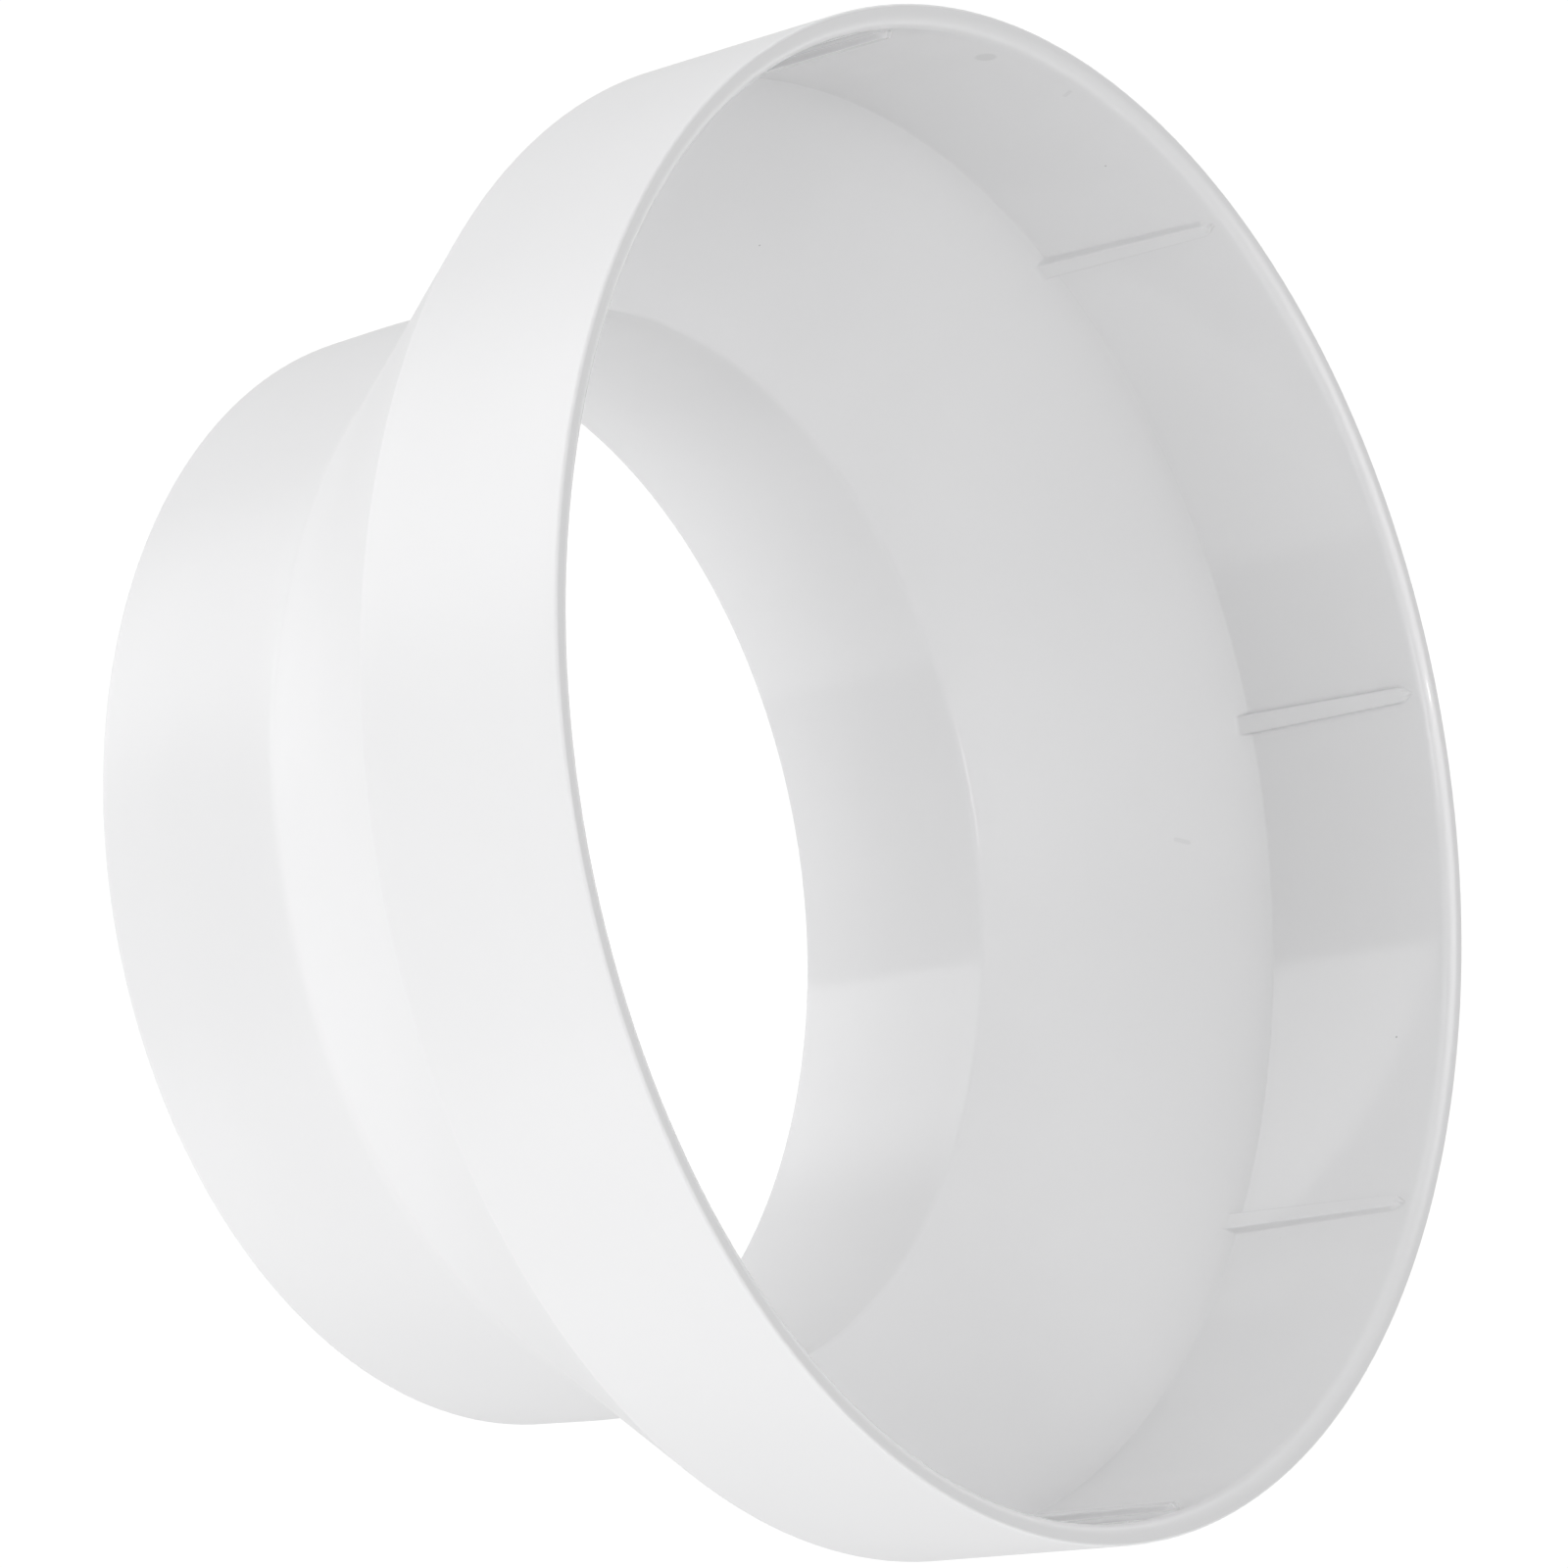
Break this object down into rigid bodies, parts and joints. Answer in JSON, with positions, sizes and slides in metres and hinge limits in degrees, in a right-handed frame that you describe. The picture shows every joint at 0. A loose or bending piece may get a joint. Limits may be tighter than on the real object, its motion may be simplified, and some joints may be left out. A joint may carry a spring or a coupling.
{
  "type": "duct reducer",
  "caption": "One-piece moulded round duct reducer: a ribbed socket narrows through a taper to a plain spigot on the same axis.",
  "frame": {"origin": "centre of the spigot's end face, which is the lowest point", "axes": "+Z along the common axis from the spigot to the socket's mouth; +X through one of the grip ribs"},
  "size_m": [0.156, 0.156, 0.075],
  "materials": {
    "white_plastic": "satin white moulding"
  },
  "bodies": {
    "root": {"duct_reducer": "white_plastic"}
  },
  "joints": []
}
